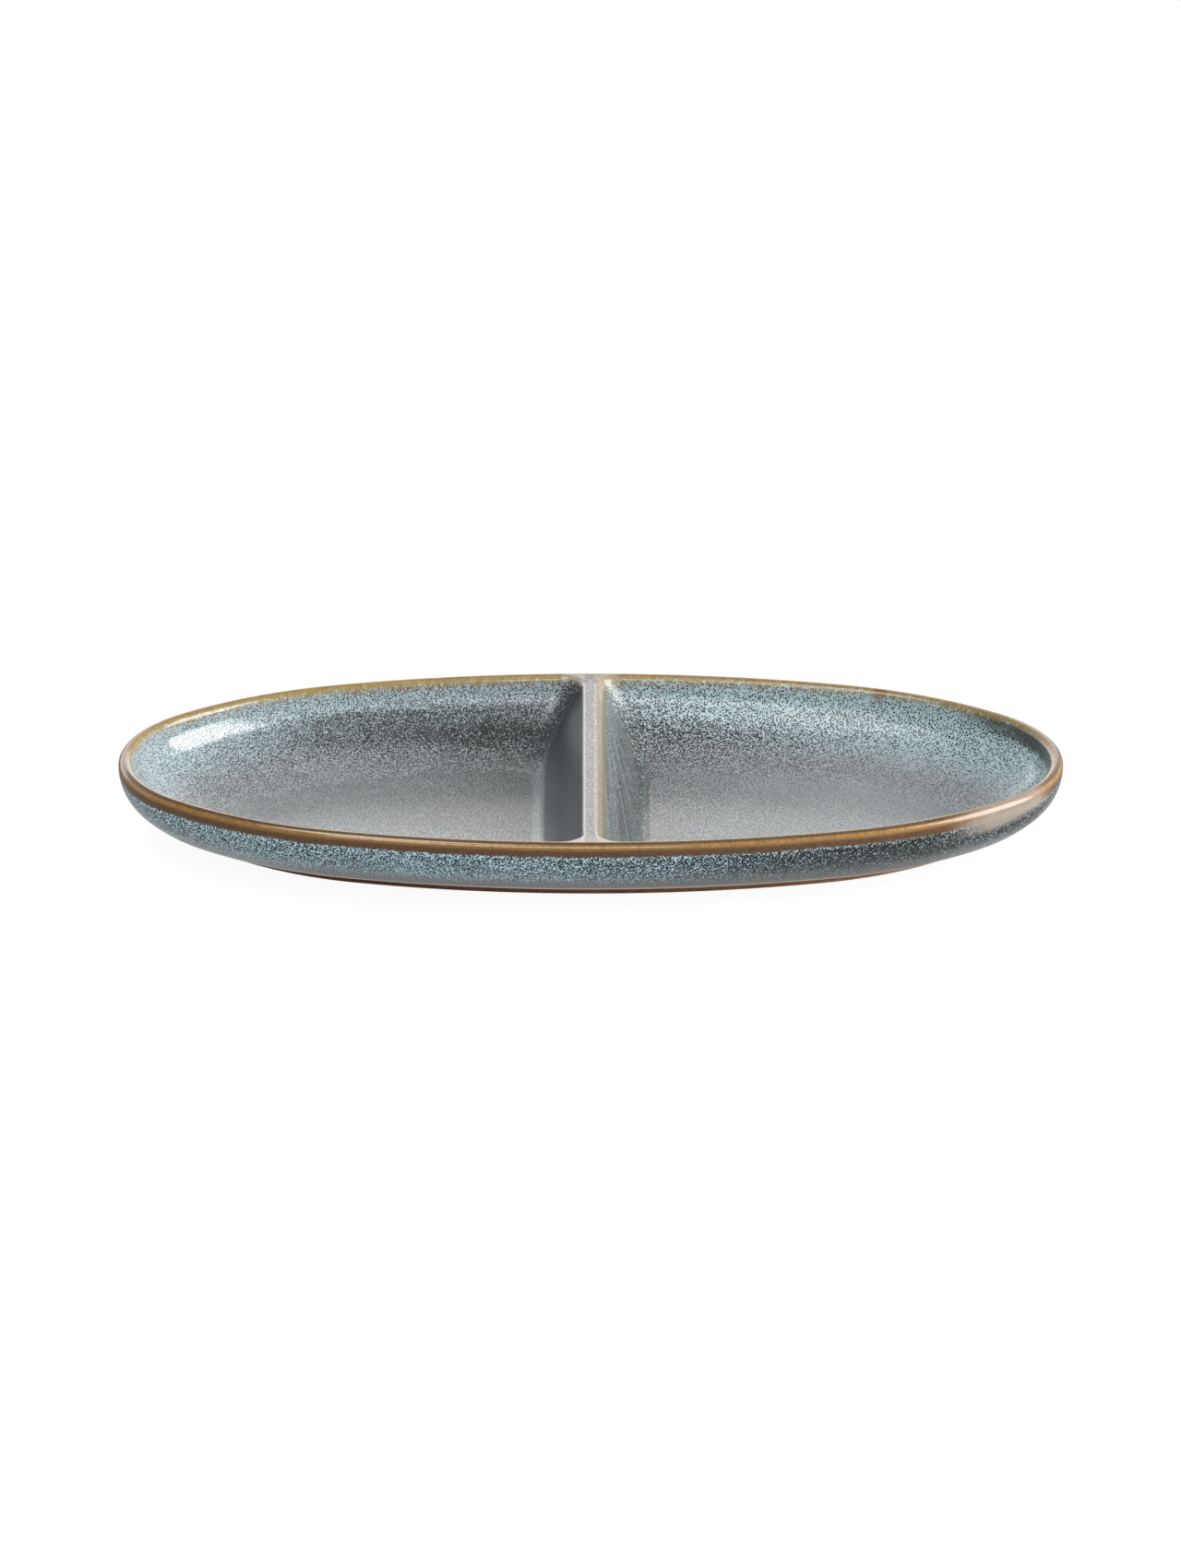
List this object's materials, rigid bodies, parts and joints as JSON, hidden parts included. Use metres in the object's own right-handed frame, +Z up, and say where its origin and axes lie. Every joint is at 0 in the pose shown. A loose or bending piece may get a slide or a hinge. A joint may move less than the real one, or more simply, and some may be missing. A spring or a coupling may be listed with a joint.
{
  "type": "olive dish",
  "caption": "Shallow oval stoneware serving dish with a divider across its middle, a rounded lip, a speckled reactive glaze and a bare foot ring; holds olives in its wells.",
  "frame": {"origin": "on the table surface, under the middle of the dish", "axes": "+X along the length of the oval, +Y across it along the divider, +Z up"},
  "size_m": [0.3, 0.15, 0.029],
  "materials": {
    "glaze": "glossy speckled reactive glaze, light blue crystals on a dark ground, brown where it thins on the lip",
    "bare_clay": "matt unglazed stoneware, toasted brown"
  },
  "bodies": {
    "root": {"bowl": "glaze", "divider": "glaze", "foot_ring": "bare_clay"}
  },
  "joints": []
}
